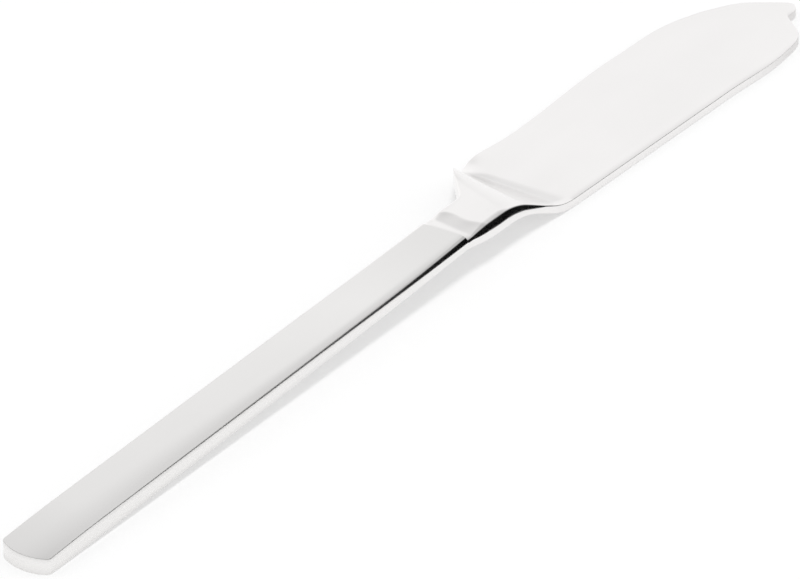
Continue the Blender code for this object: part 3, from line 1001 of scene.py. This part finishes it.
def polished_steel(name, steel, part):
    """Polished steel with wheel lines, handling marks and duller rims; part is blade or shell."""
    words = ("colour", "roughness", "rim", "polish", "marks")
    base, roughness, rim_roughness, pitch, marks = [getattr(steel, part + "_" + word) for word in words]
    material, tree, shader, place = new_material(name)
    shader.inputs["Metallic"].default_value = 1.0
    lines = group_node(tree, polish_lines_group(), Vector=place, Pitch=pitch)
    handling = group_node(tree, handling_marks_group(), Vector=place, Amount=marks)
    rim = group_node(tree, worn_rim_group(), Vector=place, Amount=RIM_WEAR)
    line_mask = Wire(tree, lines.outputs["Lines"])
    haze = Wire(tree, lines.outputs["Haze"])
    scratches = Wire(tree, handling.outputs["Scratches"])
    smudges = Wire(tree, handling.outputs["Smudges"])
    wear = Wire(tree, rim.outputs["Wear"])
    edge = Wire(tree, rim.outputs["Rim"])

    smudged = [SMUDGED_SHADE * value for value in base]
    tint_between(tree, shader, base, smudged, held(0.35 * haze + 0.5 * smudges + 0.6 * scratches))
    rough = lerp(roughness, rim_roughness, edge) + 0.03 * (line_mask - 0.5) + 0.05 * (haze - 0.5)
    rough = rough + 0.05 * smudges + 0.12 * scratches + 0.04 * wear
    feed(tree, rough, shader.inputs["Roughness"])
    bump_by(tree, shader, line_mask * 0.35 - scratches * 0.8 + 0.4 * haze, 0.05, 0.02 * MM)
    lay_out(tree)
    return material


def cast_cement(name, base):
    """Matt grey cement with grains and pores; the pores are painted darker, as shade in them."""
    material, tree, shader, place = new_material(name)
    grain = noise(tree, place, 1400.0, 4.0, 0.65)
    pores = new_node(tree, "ShaderNodeTexVoronoi", Vector=place, Scale=900.0)
    hole = held(1.0 - Wire(tree, pores.outputs["Distance"]) * 6.0)
    dark = [0.75 * value for value in base]
    pale = [min(1.2 * value, 1.0) for value in base]
    # Painted shade: the pores are tinted darker for the shade in them, while the grain is the cement's own
    # tone.
    tint_between(tree, shader, dark, pale, held(grain - 0.4 * hole))
    feed(tree, 0.82 + 0.16 * grain, shader.inputs["Roughness"])
    bump_by(tree, shader, grain - hole, 0.4, 0.08 * MM)
    lay_out(tree)
    return material


def mixed_shader(tree, amount, first, second):
    """The first shader where the amount is 0, the second where it is 1."""
    mix = new_node(tree, "ShaderNodeMixShader", Fac=amount)
    tree.links.new(first, mix.inputs[1])
    tree.links.new(second, mix.inputs[2])
    return mix.outputs["Shader"]


def studio_world(stage):
    """White to the camera. Steel mirrors a pale studio with a white wall at the left and a dark card at
    the right, and a plain grey room towards the butt's end.
    """
    world = bpy.data.worlds.new("studio")
    bpy.context.scene.world = world
    world.use_nodes = True
    tree = world.node_tree
    tree.nodes.clear()
    direction = tree.nodes.new("ShaderNodeTexCoord").outputs["Generated"]
    heading = new_node(tree, "ShaderNodeSeparateXYZ", Vector=direction)
    rise = Wire(tree, heading.outputs["Z"])
    side = Wire(tree, heading.outputs["Y"])
    ahead = Wire(tree, heading.outputs["X"])
    ramp = tree.nodes.new("ShaderNodeValToRGB")
    strip = ramp.color_ramp
    while len(strip.elements) < len(STUDIO_LEVELS):
        strip.elements.new(0.5)
    top_level = max(level for height, level in STUDIO_LEVELS)
    for stop, (height, level) in zip(strip.elements, STUDIO_LEVELS):
        stop.position = height
        stop.color = (level / top_level,) * 3 + (1.0,)
    feed(tree, rise, ramp.inputs["Fac"])
    facing = ease((ahead - stage.room_end) / (stage.room_start - stage.room_end))
    cover = ease((side + rise * stage.card_lean - stage.card_start) / (stage.card_end - stage.card_start))
    glow = ease((side - stage.glow_start) / (stage.glow_end - stage.glow_start))
    screen = ease((side - stage.screen_start) / (stage.screen_end - stage.screen_start))
    screen = screen * (1.0 - ease((rise - stage.screen_top) / SCREEN_FADE))
    plain = Wire(tree, ramp.outputs["Color"]) * top_level
    level = lerp(lerp(plain, stage.screen_level, screen), stage.glow_level, glow) * (1.0 - cover)
    room = plain * (1.0 + stage.room_lean * side) * stage.room_level
    room = lerp(room, plain, ease((rise - stage.room_top) / (1.0 - stage.room_top)))
    level = lerp(room, level, facing)
    soft = (1.0 - stage.dome_lean * side) * stage.dome_level
    seen, mirrored, dome = [
        new_node(tree, "ShaderNodeBackground", Color=WHITE, Strength=strength).outputs["Background"]
        for strength in (1.0, level, soft)
    ]
    path = tree.nodes.new("ShaderNodeLightPath")
    glossy = mixed_shader(tree, path.outputs["Is Glossy Ray"], dome, mirrored)
    camera = mixed_shader(tree, path.outputs["Is Camera Ray"], glossy, seen)
    leave = tree.nodes.new("ShaderNodeOutputWorld")
    tree.links.new(camera, leave.inputs["Surface"])
    lay_out(tree)


def table_white(stage):
    """White table: part of its white is even, so that only a soft shade of the knife's shadow stays."""
    material = bpy.data.materials.new("table_white")
    material.use_nodes = True
    tree = material.node_tree
    tree.nodes.clear()
    matt = new_node(tree, "ShaderNodeBsdfDiffuse", Color=(*stage.table_colour, 1.0))
    even = new_node(tree, "ShaderNodeEmission", Color=WHITE, Strength=1.0)
    path = tree.nodes.new("ShaderNodeLightPath")
    direct = most(Wire(tree, path.outputs["Is Camera Ray"]), Wire(tree, path.outputs["Is Glossy Ray"]))
    white = mixed_shader(tree, direct * stage.table_lift, matt.outputs["BSDF"], even.outputs["Emission"])
    leave = tree.nodes.new("ShaderNodeOutputMaterial")
    tree.links.new(white, leave.inputs["Surface"])
    lay_out(tree)
    return material


def table_object(stage):
    """Wide white plane just under the knife."""
    mesh = bpy.data.meshes.new("table")
    signs = ((-1, -1), (1, -1), (1, 1), (-1, 1))
    corners = [(TABLE_HALF * x, TABLE_HALF * y, -TABLE_DROP) for x, y in signs]
    mesh.from_pydata(corners, [], [(0, 1, 2, 3)])
    mesh.materials.append(table_white(stage))
    table = bpy.data.objects.new("table", mesh)
    table.hide_render = not stage.table_shown
    return table


def soft_light(stage):
    """Wide light from above that the steel doesn't mirror."""
    lamp = bpy.data.lights.new("soft_light", "SUN")
    lamp.angle = stage.key_width
    lamp.energy = stage.key_level * math.pi
    light = bpy.data.objects.new("soft_light", lamp)
    heading = Vector((stage.key_front, stage.key_side, -1.0))
    light.rotation_euler = heading.to_track_quat("-Z", "Y").to_euler()
    light.visible_glossy = False
    return light


def photo_camera(stage):
    """Camera at the viewing angle of the reference photo."""
    data = bpy.data.cameras.new("camera")
    data.lens = stage.camera_lens
    data.sensor_width = SENSOR_WIDTH
    data.clip_start = NEAREST_SEEN
    camera = bpy.data.objects.new("camera", data)
    pitch = stage.camera_pitch
    yaw = stage.camera_yaw
    level = math.cos(pitch)
    ahead = Vector((math.cos(yaw) * level, math.sin(yaw) * level, -math.sin(pitch)))
    right = Vector((math.sin(yaw), -math.cos(yaw), 0.0))
    up = right.cross(ahead)
    turn = Matrix((right, up, -ahead)).transposed().to_4x4()
    place = Vector(stage.camera_place) + Vector((BUTT_X, AXIS_Y, 0.0))
    camera.matrix_world = Matrix.Translation(place) @ turn
    return camera


class FISHKNIFE_OT_stage(bpy.types.Operator):
    """White table, soft light from above and all round, and the camera"""

    bl_idname = "fishknife.stage"
    bl_label = "Stage"

    def execute(self, context):
        scene = context.scene
        stage = scene.fish_knife_stage
        scene.view_settings.view_transform = "Standard"
        studio_world(stage)
        table = table_object(stage)
        camera = photo_camera(stage)
        for item in (table, soft_light(stage), camera):
            scene.collection.objects.link(item)
        scene.camera = camera
        return {"FINISHED"}


class FISHKNIFE_OT_blade(bpy.types.Operator):
    """Blade forging with its cranked neck and tang, lofted between the back and the belly outline"""

    bl_idname = "fishknife.blade"
    bl_label = "Blade"

    def execute(self, context):
        scene = context.scene
        handle = scene.fish_knife_handle
        neck = scene.fish_knife_neck
        blade = scene.fish_knife_blade
        steel = scene.fish_knife_steel
        material = polished_steel("polished_blade", steel, "blade")
        rows = blade_rails(handle, neck, blade)
        rails = {
            "Back Rail": rail_object("back_rail", [back for back, belly in rows]),
            "Belly Rail": rail_object("belly_rail", [belly for back, belly in rows]),
        }
        sizes = {}
        for group, names in (
            (handle, ("handle_length", "mouth_width", "mouth_thickness", "mouth_lift", "mouth_edge")),
            (handle, ("tang_length", "tang_width", "tang_thickness")),
            (neck, [name for name in neck.__annotations__ if name != "back_swell"]),
            (blade, ("thickness", "edge", "under_edge", "heel_back", "crown_drop", "crown_width")),
            (blade, ("heel_drop", "heel_width", "heel_reach", "tip_reach")),
        ):
            for name in names:
                sizes[name.replace("_", " ").title()] = getattr(group, name)
        tree = blade_tree(sizes, material)
        mesh = bpy.data.meshes.new("blade_start")
        start = bpy.data.objects.new("blade_start", mesh)
        scene.collection.objects.link(start)
        loft = start.modifiers.new("Loft", "NODES")
        loft.node_group = tree
        values = {**rails, **sizes}
        values["Rows"] = len(rows)
        values["Columns"] = blade.columns
        values["Edge Steps"] = blade.edge_steps
        for item in tree.interface.items_tree:
            if item.in_out == "INPUT":
                loft[item.identifier] = values[item.name]
        start.update_tag()
        context.view_layer.update()
        graph = context.evaluated_depsgraph_get()
        made = bpy.data.meshes.new_from_object(start.evaluated_get(graph))
        if not made.polygons:
            raise RuntimeError("the blade's node tree made no faces")
        for helper in (start, *rails.values()):
            bpy.data.objects.remove(helper, do_unlink=True)
        piece = piece_of("blade_forging", made, material)
        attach(piece, "root")
        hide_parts("blade")
        return {"FINISHED"}


class FISHKNIFE_OT_handle(bpy.types.Operator):
    """The two pressed half shells of the handle, soldered along the sides and polished flush"""

    bl_idname = "fishknife.handle"
    bl_label = "Handle Shells"

    def execute(self, context):
        scene = context.scene
        handle = scene.fish_knife_handle
        steel = scene.fish_knife_steel
        halves = (
            ("upper_shell_skin", handle_top, 1.0, "handle_upper_shell", "upper_shell_steel"),
            ("lower_shell_skin", handle_under, -1.0, "handle_lower_shell", "lower_shell_steel"),
        )
        for name, face, sign, node, slot in halves:
            material = polished_steel("polished_" + slot, steel, "shell")
            piece = shell_object(name, handle, face, sign, material)
            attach(piece, "root")
            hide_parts(node)
        return {"FINISHED"}


class FISHKNIFE_OT_filler(bpy.types.Operator):
    """Cement core inside the handle"""

    bl_idname = "fishknife.filler"
    bl_label = "Handle Filler"

    def execute(self, context):
        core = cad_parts["handle_filler"]
        core.data.materials.clear()
        core.data.materials.append(cast_cement("cast_cement", context.scene.fish_knife_steel.cement_colour))
        return {"FINISHED"}


class FISHKNIFE_PT_panel(bpy.types.Panel):
    """Sizes, finish and build steps of the fish knife"""

    bl_idname = "FISHKNIFE_PT_panel"
    bl_label = "Fish Knife"
    bl_space_type = "VIEW_3D"
    bl_region_type = "UI"
    bl_category = "Fish Knife"

    def draw(self, context):
        layout = self.layout
        for operator in OPERATORS:
            layout.operator(operator.bl_idname, text=operator.bl_label)
        for title, name, group in GROUPS:
            box = layout.box()
            box.label(text=title)
            settings = getattr(context.scene, name)
            for entry in group.__annotations__:
                box.prop(settings, entry)


OPERATORS = (FISHKNIFE_OT_stage, FISHKNIFE_OT_blade, FISHKNIFE_OT_handle, FISHKNIFE_OT_filler)
GROUPS = (
    ("Handle", "fish_knife_handle", HandleSizes),
    ("Neck", "fish_knife_neck", NeckSizes),
    ("Blade", "fish_knife_blade", BladeSizes),
    ("Steel", "fish_knife_steel", SteelLook),
    ("Stage", "fish_knife_stage", StageLook),
)


def register():
    for title, name, group in GROUPS:
        bpy.utils.register_class(group)
        setattr(bpy.types.Scene, name, PointerProperty(type=group))
    for item in OPERATORS + (FISHKNIFE_PT_panel,):
        bpy.utils.register_class(item)


def unregister():
    for item in reversed(OPERATORS + (FISHKNIFE_PT_panel,)):
        bpy.utils.unregister_class(item)
    for title, name, group in reversed(GROUPS):
        delattr(bpy.types.Scene, name)
        bpy.utils.unregister_class(group)


def main():
    register()
    bpy.ops.fishknife.stage()
    bpy.ops.fishknife.blade()
    bpy.ops.fishknife.handle()
    bpy.ops.fishknife.filler()


if __name__ == "__main__":
    main()
